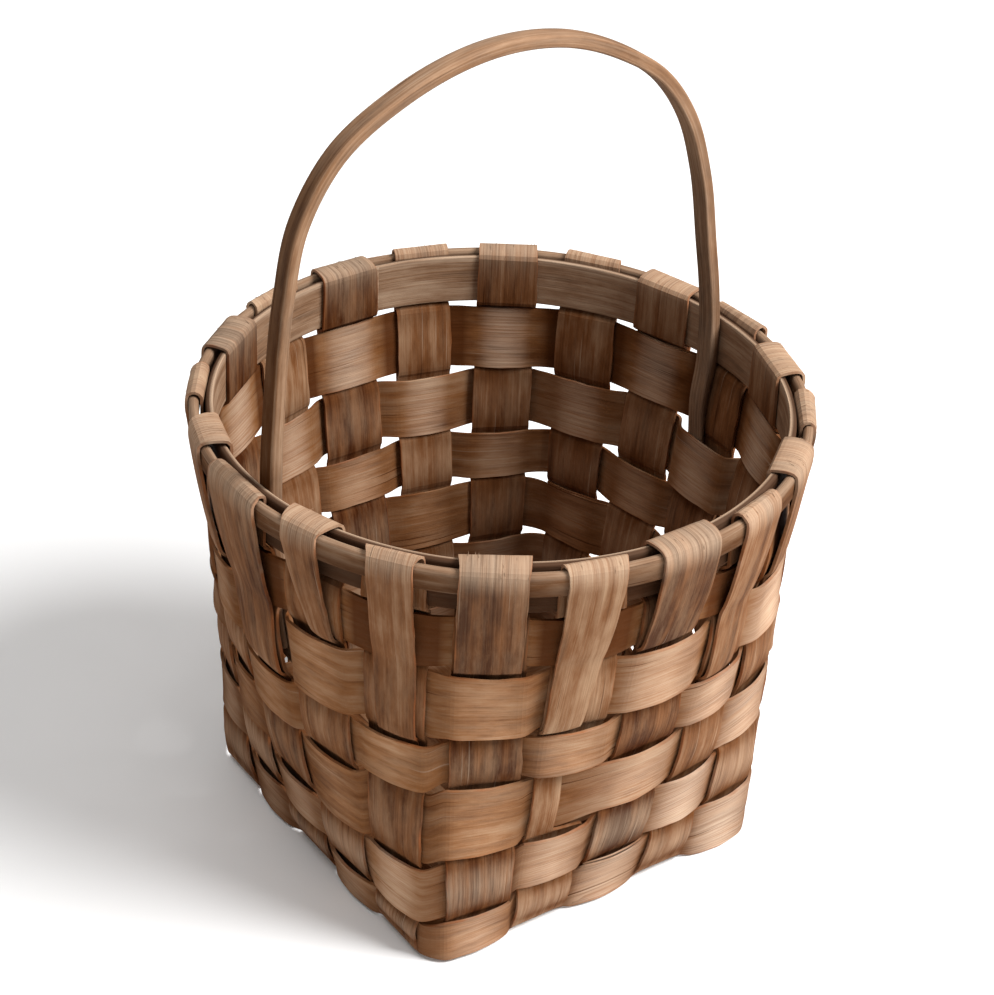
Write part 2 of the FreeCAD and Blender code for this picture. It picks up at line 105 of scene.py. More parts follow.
weave_step = splint_thickness + weave_clearance
half_step = weave_step / 2
half_strip = splint_thickness / 2
base_pitch = splint_width + splint_gap
base_half = STAKES_PER_SIDE * base_pitch / 2 + corner_margin
base_level = half_step + half_strip - sole_wear
band_low, band_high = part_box("inner_rim_band")
hoop_low, hoop_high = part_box("outer_rim_hoop")
band_bottom = band_low[2]
rim_height = band_high[2]
wall_radius = band_high[0] - band_thickness / 2
rim_sag = (WIDEST_SPLINT_SHARE * splint_width) ** 2 / (8 * (band_high[0] - band_thickness))
between_hoops = band_thickness / 2 + weave_clearance + half_strip
inside_band = -(between_hoops + rim_sag)
outside_hoop = hoop_high[0] - wall_radius + weave_clearance + half_strip
woven_top = band_bottom - row_gap
woven_height = woven_top - base_level - bend_radius


def direction(angle):
    return np.array([math.cos(angle), math.sin(angle), 0.0])


UP = np.array([0.0, 0.0, 1.0])


def stake_place(stake):
    side, order = divmod(stake % STAKE_COUNT, STAKES_PER_SIDE)
    return side, order - STAKES_PER_SIDE // 2


def stake_width(stake):
    side, along = stake_place(stake)
    order = along + STAKES_PER_SIDE // 2
    if side >= 2:
        order = STAKES_PER_SIDE - 1 - order
    shares = X_SPLINT_WIDTH_SHARES if side % 2 else Y_SPLINT_WIDTH_SHARES
    return splint_width * shares[order]


SPLIT_STAKE = 1
SPLIT_ROW = 4
split_share = 0.46


def crossing(stake, row):
    """Middle and width of a stake at a row; one stake has split there and shows its left half."""
    width = stake_width(stake)
    if stake == SPLIT_STAKE and row == SPLIT_ROW:
        return -(1.0 - split_share) * width / 2, split_share * width
    return 0.0, width


def base_frame(stake):
    """Point on the edge of the base, outward normal and direction along the edge."""
    side, along = stake_place(stake)
    outward = direction(SIDE_TURN * (side - 1))
    across = np.cross(UP, outward)
    return outward * base_half + across * along * base_pitch, outward, across


def wall_frame(stake, level):
    """Point on the wall at a stake, outward normal and direction along the wall."""
    side, along = stake_place(stake)
    share = min(max(level / band_bottom, 0.0), 1.0)
    flare = share + wall_bulge_share * share * (1.0 - share)
    side_angle = SIDE_TURN * (side - 1)
    rim = direction(side_angle + RIM_TURN * along) * wall_radius
    point = base_frame(stake)[0] * (1.0 - flare) + rim * flare + UP * level
    outward = direction(side_angle + RIM_TURN * along * flare)
    return point, outward, np.cross(UP, outward)


def edge_level(edge, stake):
    """Level of an edge between rows at a stake: 0 is above the first row."""
    level = woven_top - woven_height * sum(ROW_HEIGHT_SHARES[:edge])
    place = (stake - FIRST_SWAY_STAKE) % STAKE_COUNT
    if 0 < edge < ROW_COUNT and place < len(ROW_SWAY_SHARES[edge - 1]):
        level += woven_height * ROW_SWAY_SHARES[edge - 1][place]
    return level


def row_bounds(row, stake):
    return edge_level(row, stake) + row_gap, edge_level(row - 1, stake)


def stake_outside(stake, row):
    return (stake + row) % 2 == 1


def station(point, across, width, wear=0.0, grime=0.0, cup=0.0, thickness=splint_thickness):
    """One stop of a strip: its middle, the direction across it and what it is like there."""
    return np.concatenate([point, across, [width, wear, grime, cup, thickness]])


def wall_station(stake, level, offset, width, aside=0.0, **look):
    point, outward, across = wall_frame(stake, level)
    return station(point + outward * offset + across * aside, across, width, **look)


def tail_stations(stake):
    """From the tucked tip up over the rows above it and out to the hoop."""
    tuck_row = 2 + stake % 2
    low, high = row_bounds(tuck_row, stake)
    over = weave_step + half_step + pillow_rise
    # The last share of each stop darkens the tail at its tucked tip and under the hoop: painted shade.
    stops = [
        (low + (high - low) * tail_tip_share, half_step, 0.0, 1.0),
        (high, half_step, 0.05, 0.9),
    ]
    for row in range(tuck_row - 1, 1, -1):
        stops += [(level, over, 0.1, 0.25) for level in row_bounds(row, stake)]
    low, high = row_bounds(1, stake)
    hoop_middle = (hoop_low[2] + hoop_high[2]) / 2
    stops += [
        (low, over, 0.1, 0.3),
        (low + (high - low) * tail_leave_share, over + pillow_rise, 0.1, 0.15),
        (hoop_low[2], outside_hoop - fold_rise / 2, 0.15, 0.2),
        (hoop_middle, outside_hoop, 0.4, 0.0),
    ]
    made = []
    for level, offset, wear, grime in stops:
        drop_share = (hoop_middle - level) / (hoop_middle - stops[0][0])
        taper_share = 1.0 - (1.0 - TAIL_TAPER_SHARES[stake]) * drop_share
        width = splint_width * TAIL_WIDTH_SHARES[stake] * taper_share
        aside = splint_width * TAIL_LEAN_SHARES[stake] * drop_share ** tail_lean_power
        look = {"wear": wear, "grime": grime, "cup": -pillow_rise / 2}
        made.append(wall_station(stake, level, offset, width, aside, **look))
    return made


def fold_stations(stake):
    """Over the top of the rim and down behind it to the first row."""
    inner = between_hoops if stake % 2 else inside_band
    top = rim_height + weave_clearance + half_strip
    # The last share of each stop darkens the strip as it runs down beside the band, most at the band's
    # lower edge: painted shade.
    stops = [
        (top - fold_rise, outside_hoop - fold_rise / 2, 0.8, 0.0),
        (top + fold_rise / 2, outside_hoop - fold_rise - splint_thickness, 0.8, 0.0),
        (top + fold_rise, (inner + outside_hoop) / 2, 0.8, 0.0),
        (top + fold_rise / 2, inner + splint_thickness, 0.7, 0.0),
        (top - fold_rise, inner, 0.5, 0.2),
        ((band_bottom + rim_height) / 2, inner, 0.1, 0.4),
        (band_bottom, inner, 0.0, 0.9),
    ]
    widths = np.linspace(splint_width * TAIL_WIDTH_SHARES[stake], stake_width(stake), len(stops))
    return [
        wall_station(stake, level, offset, width, wear=wear, grime=grime)
        for (level, offset, wear, grime), width in zip(stops, widths)
    ]


def woven_stations(stake):
    """Down the wall, in front of one row and behind the next."""
    made = []
    for row in range(1, ROW_COUNT + 1):
        low, high = row_bounds(row, stake)
        aside, width = crossing(stake, row)
        sign = 1 if stake_outside(stake, row) else -1
        for across_share, pillow_share in zip(ACROSS_SHARES, PILLOW_SHARES):
            level = (low + high) / 2 - across_share * (high - low) / 2
            rise = pillow_rise * (1.0 if sign > 0 else inside_pillow_share)
            offset = sign * (half_step + pillow_share * rise)
            cup = sign * pillow_share * rise / 2
            wear = ROW_WEAR_AND_LIGHT_SHARES[row - 1] * pillow_share
            # Darker at the edges of each row, where the stake turns under the next: painted shade.
            grime = 1.0 - pillow_share
            made.append(wall_station(stake, level, offset, width, aside, wear=wear, grime=grime, cup=cup))
    return made


def bend_stations(stake):
    """Round the bend from the wall into the base."""
    edge, outward, across = base_frame(stake)
    sign = 1 if stake_outside(stake, ROW_COUNT) else -1
    centre = edge - outward * bend_radius + UP * (base_level + bend_radius)
    made = []
    for turn_share in BEND_SHARES:
        angle = SIDE_TURN * turn_share
        away = outward * math.cos(angle) - UP * math.sin(angle)
        reach = bend_radius + sign * half_step * (1.0 - 2.0 * turn_share)
        made.append(station(centre + away * reach, across, stake_width(stake), wear=0.3))
    return made


def side_stations(stake):
    return tail_stations(stake) + fold_stations(stake) + woven_stations(stake) + bend_stations(stake)


def base_stations(stake, crossed):
    """Across the base, under and over the splints that run the other way."""
    edge, outward, across = base_frame(stake)
    sign = -1 if stake_outside(stake, ROW_COUNT) else 1
    made = []
    for order, other in enumerate(crossed):
        inward = base_half + (order - STAKES_PER_SIDE // 2) * base_pitch
        for across_share, pillow_share in zip(ACROSS_SHARES, PILLOW_SHARES):
            reach = inward + across_share * stake_width(other) / 2
            middle = edge - outward * reach + UP * (base_level - sign * half_step + sole_wear / 2)
            # Darker where the strip dips under the splints across it: painted shade.
            made.append(station(middle, across, stake_width(stake), grime=1.0 - pillow_share / 2))
        sign = -sign
    return made


def splint_stations(stake, opposite, crossed):
    far = np.array(side_stations(opposite))[::-1]
    far[:, 3:6] *= -1.0
    return np.vstack([side_stations(stake), base_stations(stake, crossed), far])


def held_slopes(before, after, span_before, span_after):
    """Slopes of a line that never swings past its stations."""
    weight_before = 2 * span_after + span_before
    weight_after = span_after + 2 * span_before
    same = before * after > 0
    safe_before = np.where(same, before, 1.0)
    safe_after = np.where(same, after, 1.0)
    mean = (weight_before + weight_after) / (weight_before / safe_before + weight_after / safe_after)
    return np.where(same, mean, 0.0)


def even_curve(stations, spacing, slope_rule):
    """Lengths and stops at an even spacing along a smooth line through the stations."""
    steps = np.linalg.norm(np.diff(stations[:, :3], axis=0), axis=1)
    knots = np.concatenate([[0.0], np.cumsum(steps)])
    spans = steps[:, None]
    chords = np.diff(stations, axis=0) / spans
    inner = slope_rule(chords[:-1], chords[1:], spans[:-1], spans[1:])
    slopes = np.vstack([chords[:1], inner, chords[-1:]])
    at = np.linspace(0.0, knots[-1], int(knots[-1] / spacing) + 1)
    cell = np.clip(np.searchsorted(knots, at, side="right") - 1, 0, len(steps) - 1)
    run = spans[cell]
    part = (at - knots[cell])[:, None] / run
    return at, (
        (1 + 2 * part) * (1 - part) ** 2 * stations[cell]
        + part * (1 - part) ** 2 * run * slopes[cell]
        + part ** 2 * (3 - 2 * part) * stations[cell + 1]
        + part ** 2 * (part - 1) * run * slopes[cell + 1]
    )


def wander(rng, lengths, period):
    """Smooth random line between -1 and 1 with about one swing per period."""
    count = max(int(lengths[-1] / period), 1) + 3
    places = (np.arange(count) - 1) * period
    return np.interp(lengths, places, rng.uniform(-1.0, 1.0, count))


RIBBON_COLUMNS = 15
ribbon_spacing = 0.0016
edge_wander = 0.0006
edge_period = 0.04
fine_edge_wander = 0.00025
fine_edge_period = 0.006
tail_twist = math.radians(4)
twist_period = 0.05
GRAIN_START_RANGE = 40.0


def make_ribbon(name, stations, tone, seed):
    """Middle surface of a strip, with what the finish needs kept on its points."""
    rng = np.random.default_rng(seed)
    lengths, stops = even_curve(np.asarray(stations), ribbon_spacing, held_slopes)
    widths, wear, grime, cup, thickness = stops[:, 6:].T
    points = stops[:, :3]
    across = stops[:, 3:6] / np.linalg.norm(stops[:, 3:6], axis=1)[:, None]
    run = np.gradient(points, axis=0)
    run /= np.linalg.norm(run, axis=1)[:, None]
    twist = (tail_twist * wear * wander(rng, lengths, twist_period))[:, None]
    across = across * np.cos(twist) + np.cross(run, across) * np.sin(twist)
    facing = np.cross(run, across)
    facing /= np.linalg.norm(facing, axis=1)[:, None]
    spread = np.linspace(-1.0, 1.0, RIBBON_COLUMNS)
    left, right = (
        widths / 2
        + edge_wander * wander(rng, lengths, edge_period)
        + fine_edge_wander * wander(rng, lengths, fine_edge_period)
        for edge in range(2)
    )
    reach = np.where(spread < 0, left[:, None], right[:, None]) * spread
    hollow = cup[:, None] * (0.5 - spread ** 2)
    aside = across[:, None, :] * reach[:, :, None]
    places = points[:, None, :] + aside + facing[:, None, :] * hollow[:, :, None]
    rows, columns = reach.shape
    index = np.arange(rows * columns).reshape(rows, columns)
    quads = np.stack([index[:-1, :-1], index[1:, :-1], index[1:, 1:], index[:-1, 1:]], axis=-1)
    quads = quads.reshape(-1, 4)
    mesh = bpy.data.meshes.new(name)
    mesh.from_pydata(places.reshape(-1, 3), [], quads.tolist())
    keep_on_points(mesh, "facing", np.repeat(facing, columns, axis=0))
    keep_on_points(mesh, "run", np.repeat(run, columns, axis=0))
    keep_on_points(mesh, "thickness", np.repeat(thickness, columns))
    keep_on_points(mesh, "wear", np.repeat(wear, columns))
    keep_on_points(mesh, "grime", np.repeat(grime, columns))
    keep_on_points(mesh, "rim_side", np.tile(np.abs(spread), rows))
    keep_on_points(mesh, "tone", np.full(rows * columns, tone))
    grain = np.stack([np.repeat(lengths, columns), reach.ravel()], axis=-1)
    grain += rng.uniform(0.0, GRAIN_START_RANGE)
    uv_map = mesh.uv_layers.new(name="grain")
    uv_map.data.foreach_set("uv", grain[quads.ravel()].astype(np.float32).ravel())
    return mesh


def keep_on_points(mesh, name, values):
    kind, key = ("FLOAT_VECTOR", "vector") if values.ndim == 2 else ("FLOAT", "value")
    mesh.attributes.new(name, kind, "POINT").data.foreach_set(key, values.astype(np.float32).ravel())


def add_node(tree, kind, links=None, values=None, **settings):
    """Node with its settings, its plain input values and its links."""
    node = tree.nodes.new(kind)
    for key, value in settings.items():
        setattr(node, key, value)
    for key, value in (values or {}).items():
        node.inputs[key].default_value = value
    for key, source in (links or {}).items():
        tree.links.new(source, node.inputs[key])
    return node


def kept(tree, name, kind="FLOAT"):
    node = add_node(tree, "GeometryNodeInputNamedAttribute", values={"Name": name}, data_type=kind)
    return node.outputs["Attribute"]


def math_node(tree, operation, first, second, clamped=False):
    node = add_node(tree, "ShaderNodeMath", operation=operation, use_clamp=clamped)
    for socket, value in enumerate((first, second)):
        if isinstance(value, float):
            node.inputs[socket].default_value = value
        else:
            tree.links.new(value, node.inputs[socket])
    return node.outputs[0]


def scaled(tree, vector, factor):
    links = {0: vector, "Scale": factor}
    return add_node(tree, "ShaderNodeVectorMath", links, operation="SCALE").outputs[0]


def random_between(tree, seed, low, high):
    return add_node(tree, "FunctionNodeRandomValue", {"Seed": seed}, {2: low, 3: high}).outputs[1]


def joined(tree, *pieces):
    node = add_node(tree, "GeometryNodeJoinGeometry")
    for piece in pieces:
        tree.links.new(piece, node.inputs[0])
    return node.outputs[0]


SPLINT_SIZES = (
    "Grain Height", "Grain Length", "Grain Width", "Fray Count", "Fray Length", "Fray Width", "Seed",
)
crease_angle = math.radians(45)
merge_distance = 0.00001
fray_start_wear = 0.4
FIBRE_SIDES = 4
FIBRE_LIFT_SHARES = (0.02, 0.14)
FIBRE_SIZE_SHARES = (0.4, 1.0)


def raised_strip(tree, given):
    """The ribbon's under side, and both sides closed to a strip with raised grain."""
    facing = kept(tree, "facing", "FLOAT_VECTOR")
    thickness = kept(tree, "thickness")
    grain = add_node(tree, "ShaderNodeSeparateXYZ", {"Vector": kept(tree, "grain", "FLOAT_VECTOR")})
    along = math_node(tree, "DIVIDE", grain.outputs["X"], given["Grain Length"])
    aside = math_node(tree, "DIVIDE", grain.outputs["Y"], given["Grain Width"])
    place = add_node(tree, "ShaderNodeCombineXYZ", {"X": along, "Y": aside, "Z": given["Seed"]})
    waves = {"Scale": 1.0, "Detail": 3.0}
    noise = add_node(tree, "ShaderNodeTexNoise", {"Vector": place.outputs[0]}, waves)
    lift = math_node(tree, "SUBTRACT", noise.outputs[0], 0.5)
    height = math_node(tree, "MULTIPLY", lift, given["Grain Height"])
    down = math_node(tree, "MULTIPLY", thickness, -0.5)
    move = scaled(tree, facing, math_node(tree, "ADD", down, height))
    lowered = add_node(tree, "GeometryNodeSetPosition", {"Geometry": given["Ribbon"], "Offset": move})
    under = add_node(tree, "GeometryNodeFlipFaces", {"Mesh": lowered.outputs[0]}).outputs[0]
    links = {"Mesh": lowered.outputs[0], "Offset": facing, "Offset Scale": thickness}
    upper = add_node(tree, "GeometryNodeExtrudeMesh", links, {"Individual": False}, mode="FACES")
    links = {"Geometry": joined(tree, upper.outputs["Mesh"], under)}
    closed = add_node(tree, "GeometryNodeMergeByDistance", links, {"Distance": merge_distance})
    angle = add_node(tree, "GeometryNodeInputMeshEdgeAngle").outputs[0]
    soft = add_node(tree, "FunctionNodeCompare", {0: angle}, {1: crease_angle}, operation="LESS_THAN")
    links = {0: closed.outputs[0], "Shade Smooth": soft.outputs[0]}
    return under, add_node(tree, "GeometryNodeSetShadeSmooth", links, domain="EDGE").outputs[0]


def loose_fibres(tree, given, under):
    """Thin fibres along the grain that stand off the worn stretches of a strip."""
    worn_and_lit = math_node(tree, "SUBTRACT", kept(tree, "wear"), fray_start_wear, clamped=True)
    count = math_node(tree, "MULTIPLY", worn_and_lit, given["Fray Count"])
    links = {"Mesh": under, "Density": count, "Seed": given["Seed"]}
    roots = add_node(tree, "GeometryNodeDistributePointsOnFaces", links)
    lift = random_between(tree, given["Seed"], *FIBRE_LIFT_SHARES)
    way = random_between(tree, given["Seed"], -1.0, 1.0)
    turn = add_node(tree, "ShaderNodeMath", {0: way}, operation="SIGN").outputs[0]
    ahead = scaled(tree, kept(tree, "run", "FLOAT_VECTOR"), turn)
    off = scaled(tree, roots.outputs["Normal"], lift)
    aim = add_node(tree, "ShaderNodeVectorMath", {0: ahead, 1: off}, operation="ADD")
    aimed = add_node(tree, "FunctionNodeAlignRotationToVector", {"Vector": aim.outputs[0]}, axis="Z")
    links = {"Radius Bottom": given["Fray Width"], "Depth": given["Fray Length"]}
    fibre = add_node(tree, "GeometryNodeMeshCone", links, {"Vertices": FIBRE_SIDES, "Radius Top": 0.0})
    links = {
        "Points": roots.outputs["Points"],
        "Instance": fibre.outputs["Mesh"],
        "Rotation": aimed.outputs[0],
        "Scale": random_between(tree, given["Seed"], *FIBRE_SIZE_SHARES),
    }
    return add_node(tree, "GeometryNodeInstanceOnPoints", links).outputs[0]


def build_splint_body():
    """Ribbon to splint: raised grain, the strip's thickness and loose fibres where it is worn."""
    tree = bpy.data.node_groups.new("splint_body", "GeometryNodeTree")
    sockets = tree.interface
    sockets.new_socket("Ribbon", in_out="INPUT", socket_type="NodeSocketGeometry")
    for label in SPLINT_SIZES:
        sockets.new_socket(label, in_out="INPUT", socket_type="NodeSocketFloat")
    sockets.new_socket("Finish", in_out="INPUT", socket_type="NodeSocketMaterial")
    sockets.new_socket("Splint", in_out="OUTPUT", socket_type="NodeSocketGeometry")
    given = add_node(tree, "NodeGroupInput").outputs
    under, strip = raised_strip(tree, given)
    links = {"Geometry": joined(tree, loose_fibres(tree, given, under), strip)}
    whole = add_node(tree, "GeometryNodeRealizeInstances", links)
    links = {"Geometry": whole.outputs[0], "Material": given["Finish"]}
    finish = add_node(tree, "GeometryNodeSetMaterial", links)
    add_node(tree, "NodeGroupOutput", {"Splint": finish.outputs[0]})
    return tree


splint_body = build_splint_body()


def set_input(modifier, label, value):
    for item in modifier.node_group.interface.items_tree:
        if item.name == label and item.in_out == "INPUT":
            modifier[item.identifier] = value


def grow(name, mesh, tree, **inputs):
    """Runs a node tree on a mesh and keeps the result as a plain mesh."""
    piece = bpy.data.objects.new(name, mesh)
    bpy.context.scene.collection.objects.link(piece)
    modifier = piece.modifiers.new(tree.name, "NODES")
    modifier.node_group = tree
    for label, value in inputs.items():
        set_input(modifier, label.replace("_", " ").title(), value)
    graph = bpy.context.evaluated_depsgraph_get()
    grown = bpy.data.meshes.new_from_object(piece.evaluated_get(graph), depsgraph=graph)
    piece.modifiers.remove(modifier)
    piece.data = grown
    grown.name = name
    return piece


def srgb(red, green, blue):
    """Linear colour of a paint-chart value from 0 to 255."""
    return tuple((value / 255) ** 2.2 for value in (red, green, blue)) + (1.0,)


def ramp(tree, source, stops):
    node = add_node(tree, "ShaderNodeValToRGB", {"Fac": source})
    elements = node.color_ramp.elements
    while len(elements) < len(stops):
        elements.new(0.5)
    for element, (place, colour) in zip(elements, stops):
        element.position = place
        element.color = colour if isinstance(colour, tuple) else (colour, colour, colour, 1.0)
    return node.outputs["Color"]


def blend_colours(tree, share, first, second, mode="MIX"):
    node = add_node(tree, "ShaderNodeMix", data_type="RGBA", blend_type=mode)
    for socket, value in ((0, share), (6, first), (7, second)):
        if isinstance(value, (tuple, float)):
            node.inputs[socket].default_value = value
        else:
            tree.links.new(value, node.inputs[socket])
    return node.outputs[2]


def streaks(tree, grain, along, across, detail=5.0, roughness=0.6):
    """Noise drawn out along the strip: so many marks per metre each way."""
    mapped = add_node(tree, "ShaderNodeMapping", {"Vector": grain}, {"Scale": (along, across, 1.0)})
    noise = add_node(tree, "ShaderNodeTexNoise", {"Vector": mapped.outputs[0]},
                     {"Scale": 1.0, "Detail": detail, "Roughness": roughness})
    return noise.outputs["Fac"]


def attribute(tree, name):
    return add_node(tree, "ShaderNodeAttribute", attribute_name=name).outputs["Fac"]


def swing(tree, noise, strength):
    """Noise about zero, as strong as asked."""
    return math_node(tree, "MULTIPLY", math_node(tree, "SUBTRACT", noise, 0.5), strength)


# Marks of each kind per metre along and across the grain, and the strength of each stain.
FIBRE_MARKS = (22.0, 1300.0)
BAND_MARKS = (7.0, 230.0)
STAIN_MARKS = ((20.0, 60.0, 0.5), (8.0, 17.0, 0.45), (70.0, 260.0, 0.4))
DUST_MARKS = (20.0, 90.0)
SCRATCH_MARKS = (16.0, 800.0)
EDGE_PATCH_MARKS = (60.0, 60.0)
CRACK_MARKS = (11.0, 520.0)
worn_streak_strength = 0.15
fibre_strength = 0.3
band_strength = 0.9
tone_strength = 0.14
grime_strength = 0.34
crack_strength = 0.55
deepest_soil_and_shade = 0.9
relief_depth = 0.0005
wood_gloss = 0.03


def split_wood(name, dark, middle, light, bleached_and_lit, edge_colour, streak_share):
    """Old split ash: streaks along the grain, stains, dust, bleached wear and orange cut edges, with
    painted light and painted shade brought in by the wear and grime attributes.
    """
    material = bpy.data.materials.new(name)
    material.use_nodes = True
    tree = material.node_tree
    shader = tree.nodes["Principled BSDF"]
    grain = add_node(tree, "ShaderNodeUVMap", uv_map="grain").outputs["UV"]
    wear = attribute(tree, "wear")
    fibres = streaks(tree, grain, *FIBRE_MARKS, 4.0)
    bands = streaks(tree, grain, *BAND_MARKS, 3.0)
    streaky = math_node(tree, "MULTIPLY", wear, worn_streak_strength)
    streaky = math_node(tree, "ADD", streaky, streak_share * fibre_strength)
    depth = swing(tree, bands, streak_share * band_strength)
    depth = math_node(tree, "ADD", swing(tree, fibres, streaky), depth)
    for along, across, strength in STAIN_MARKS:
        stain = swing(tree, streaks(tree, grain, along, across, 4.0), strength)
        depth = math_node(tree, "ADD", depth, stain)
    tone = math_node(tree, "MULTIPLY", attribute(tree, "tone"), tone_strength)
    depth = math_node(tree, "ADD", math_node(tree, "ADD", depth, tone), 0.5)
    colour = ramp(tree, depth, ((0.24, dark), (0.5, middle), (0.76, light)))
    # Bleached where worn, and lighter where light is painted on.
    worn_and_lit = math_node(tree, "MULTIPLY", wear, ramp(tree, fibres, ((0.35, 0.3), (0.65, 0.75))))
    dusty = ramp(tree, streaks(tree, grain, *DUST_MARKS, 6.0, 0.7), ((0.46, 0.0), (0.66, 0.4)))
    scratched = ramp(tree, streaks(tree, grain, *SCRATCH_MARKS, 1.0), ((0.69, 0.0), (0.76, 0.3)))
    for share, over in ((dusty, light), (worn_and_lit, bleached_and_lit), (scratched, bleached_and_lit)):
        colour = blend_colours(tree, share, colour, over)
    edge = ramp(tree, attribute(tree, "rim_side"), ((0.95, 0.0), (1.0, 1.0)))
    patchy = ramp(tree, streaks(tree, grain, *EDGE_PATCH_MARKS, 2.0), ((0.42, 0.0), (0.62, 0.45)))
    colour = blend_colours(tree, math_node(tree, "MULTIPLY", edge, patchy), colour, edge_colour)
    cracks = ramp(tree, streaks(tree, grain, *CRACK_MARKS, 2.0), ((0.27, 1.0), (0.34, 0.0)))
    # Darker with grime and painted shade, and along cracks.
    soil_and_shade = math_node(tree, "MULTIPLY", attribute(tree, "grime"), grime_strength)
    soil_and_shade = math_node(tree, "ADD", soil_and_shade, math_node(tree, "MULTIPLY", cracks, crack_strength))
    colour = blend_colours(tree, math_node(tree, "MINIMUM", soil_and_shade, deepest_soil_and_shade), colour, dark)
    tree.links.new(colour, shader.inputs["Base Color"])
    tree.links.new(ramp(tree, fibres, ((0.3, 0.7), (0.7, 0.95))), shader.inputs["Roughness"])
    height = math_node(tree, "SUBTRACT", math_node(tree, "ADD", fibres, bands), cracks)
    relief = {"Strength": 0.2 + 0.3 * streak_share, "Distance": relief_depth}
    bump = add_node(tree, "ShaderNodeBump", {"Height": height}, relief)
    tree.links.new(bump.outputs["Normal"], shader.inputs["Normal"])
    shader.inputs["Specular IOR Level"].default_value = wood_gloss
    return material


stake_wood = split_wood(
    "stake_wood", dark=srgb(62, 34, 18), middle=srgb(114, 74, 46), light=srgb(152, 120, 93),
    bleached_and_lit=srgb(182, 159, 136), edge_colour=srgb(142, 80, 44), streak_share=0.66,
)
STAKE_SURFACE = {
    "grain_height": 0.0003, "grain_length": 0.05, "grain_width": 0.004,
    "fray_count": 60000.0, "fray_length": 0.004, "fray_width": 0.00018,
}
FIRST_STAKE_SEED = 11

y_stakes = list(range(STAKES_PER_SIDE))
x_stakes = [STAKE_COUNT - 1 - order for order in range(STAKES_PER_SIDE)]
splint_runs = []
for k, (stake, tone) in enumerate(zip(y_stakes, Y_SPLINT_TONES)):
    splint_runs.append((f"base_splint_y{k + 1}", stake, 3 * STAKES_PER_SIDE - 1 - k, x_stakes, tone))
for k, (stake, tone) in enumerate(zip(x_stakes, X_SPLINT_TONES)):
    splint_runs.append((f"base_splint_x{k + 1}", stake, STAKES_PER_SIDE + k, y_stakes, tone))
for seed, (node, stake, opposite, crossed, tone) in enumerate(splint_runs):
    stations = splint_stations(stake, opposite, crossed)
    ribbon = make_ribbon(node + "_ribbon", stations, tone, FIRST_STAKE_SEED + seed)
    look = {"seed": float(seed), "finish": stake_wood, **STAKE_SURFACE}
    splint = grow("visible_" + node, ribbon, splint_body, **look)
    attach(splint, "root")
    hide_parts(node)

# Weavers: one thin strip of split ash for each row, woven in front of one stake and
# behind the next. The ends of a row are thinned and lapped, and friction holds them.

HANDLE_STAKES = (17, 7)
WEAVER_TONES = (-0.2, 0.1, 0.0, -0.2, 0.0, 0.1)
# Direction of the key lamp from the basket: outer faces towards it are painted lighter and those away
# from it darker.
lamp_side_angle = math.radians(-55)
handle_tip_thickness = 0.0024
weaver_pillow_rise = 0.0013
front_drop = 0.0065
behind_drop = 0.006
lap_layer = 0.55 * splint_thickness
lap_thickness = 0.6 * splint_thickness
LAP_STAKES = 2
LAP_SHIFT = 7
# Painted light on outer faces towards the key lamp, painted shade on outer faces away from it.
fade_wear = 0.6
shade_grime = 1.1
# Painted shadow of the hoop on the outside of the first row.
first_row_grime = 2.3
# Inside: painted light on the upper rows and painted shade that grows towards the bottom.
inside_wear = 0.24
INSIDE_LIT_ROWS = 4
inside_grime = 0.15


def weaver_offset(stake, row):
    """Middle line of a weaver at a stake, with room for what is tucked behind it."""
    if not stake_outside(stake, row):
        tucked = row == 2 + stake % 2
        return half_step + (weave_step if tucked else 0.0), 1
    leg_here = row == 2 and stake in HANDLE_STAKES
    return -(half_step + (handle_tip_thickness + weave_step if leg_here else 0.0)), -1


def weaver_bounds(row, stake):
    """Edges of a weaver at a stake; the last row sags over the edge of the base."""
    low, high = row_bounds(row, stake)
    if row == ROW_COUNT:
        low -= behind_drop if stake_outside(stake, row) else front_drop
    return low, high


